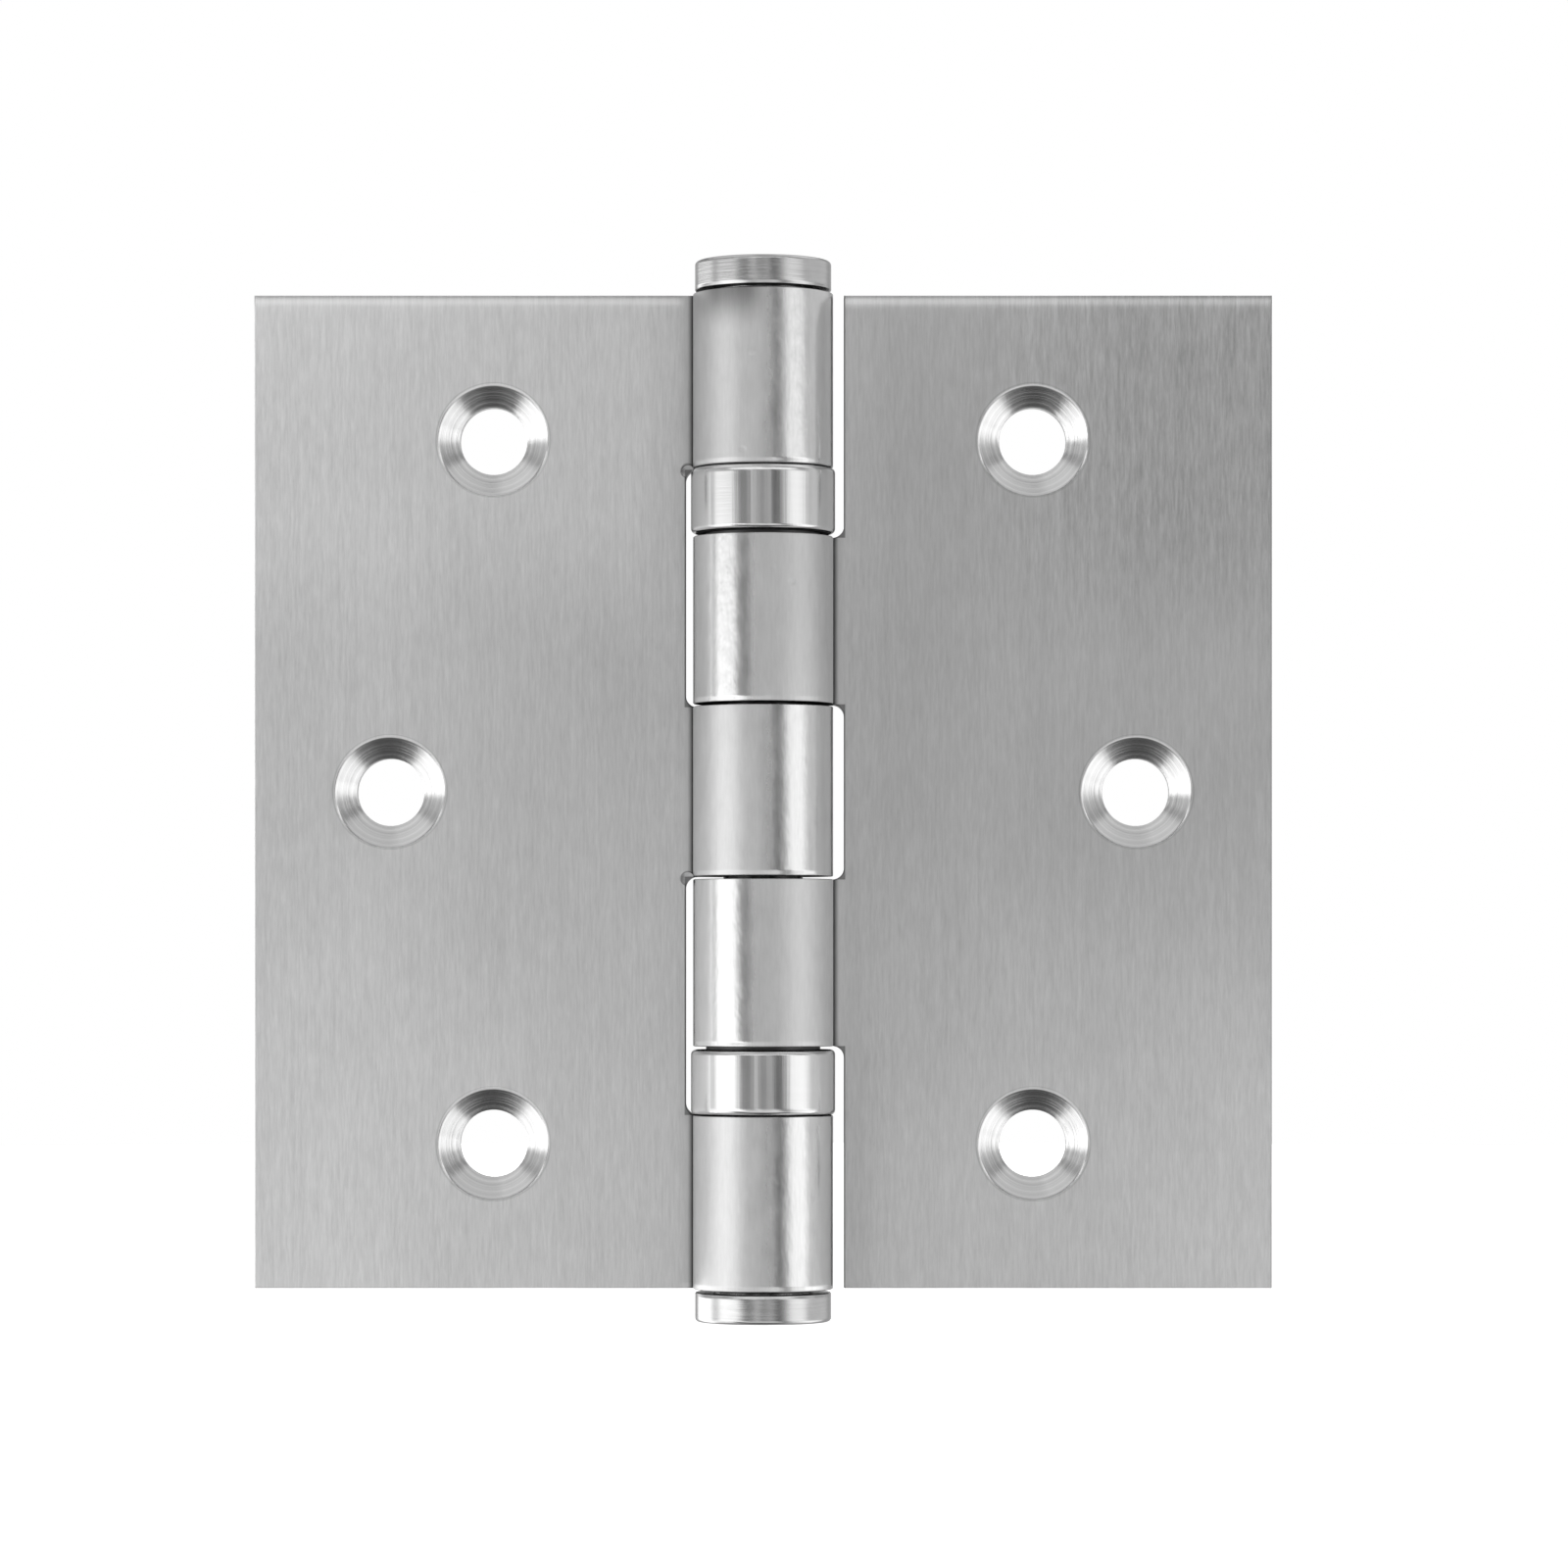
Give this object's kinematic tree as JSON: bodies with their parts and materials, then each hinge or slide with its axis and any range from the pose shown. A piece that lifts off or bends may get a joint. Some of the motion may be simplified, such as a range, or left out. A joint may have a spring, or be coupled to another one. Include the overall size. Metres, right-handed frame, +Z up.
{
  "type": "butt hinge",
  "caption": "Flat rectangular leaves with countersunk screw holes on rolled knuckles that turn round a headed pin, with thrust bearings between the knuckles.",
  "frame": {"origin": "on the pin's axis, half way up the hinge", "axes": "+Z up the pin towards its head, +X towards the door leaf with the hinge open flat, +Y from the countersunk faces towards the backs of the leaves"},
  "size_m": [0.1024, 0.0144, 0.1066],
  "materials": {
    "frame_leaf": "satin stainless sheet, grain along the pin",
    "door_leaf": "satin stainless sheet, grain along the pin",
    "pin": "turned stainless bar",
    "bearing_shells": "drawn stainless, polished",
    "races": "ground hardened steel",
    "cages": "stamped brass",
    "balls": "polished steel balls"
  },
  "bodies": {
    "frame": {"frame_leaf": "frame_leaf", "hinge_pin": "pin", "bottom_tip": "pin", "upper_bearing_shell": "bearing_shells", "upper_bearing_frame_race": "races", "lower_bearing_shell": "bearing_shells", "lower_bearing_frame_race": "races"},
    "door": {"door_leaf": "door_leaf", "upper_bearing_door_race": "races", "lower_bearing_door_race": "races"},
    "upper_cage": {"upper_bearing_cage": "cages", "upper_ball_1": "balls", "upper_ball_2": "balls", "upper_ball_3": "balls", "upper_ball_4": "balls", "upper_ball_5": "balls", "upper_ball_6": "balls", "upper_ball_7": "balls", "upper_ball_8": "balls"},
    "lower_cage": {"lower_bearing_cage": "cages", "lower_ball_1": "balls", "lower_ball_2": "balls", "lower_ball_3": "balls", "lower_ball_4": "balls", "lower_ball_5": "balls", "lower_ball_6": "balls", "lower_ball_7": "balls", "lower_ball_8": "balls"}
  },
  "joints": [
    {"name": "leaf_swing", "type": "hinge", "parent": "frame", "child": "door", "pos_m": [0, 0, 0], "axis": [0, 0, 1], "range_deg": [-180, 115]},
    {"name": "upper_cage_turn", "type": "hinge", "parent": "frame", "child": "upper_cage", "pos_m": [0, 0, 0.02908], "axis": [0, 0, 1], "range_deg": [-90, 57.5]},
    {"name": "lower_cage_turn", "type": "hinge", "parent": "frame", "child": "lower_cage", "pos_m": [0, 0, -0.02908], "axis": [0, 0, 1], "range_deg": [-90, 57.5]}
  ],
  "couplings": [
    {"joint": "upper_cage_turn", "follows": "leaf_swing", "ratio": 0.5},
    {"joint": "lower_cage_turn", "follows": "leaf_swing", "ratio": 0.5}
  ]
}
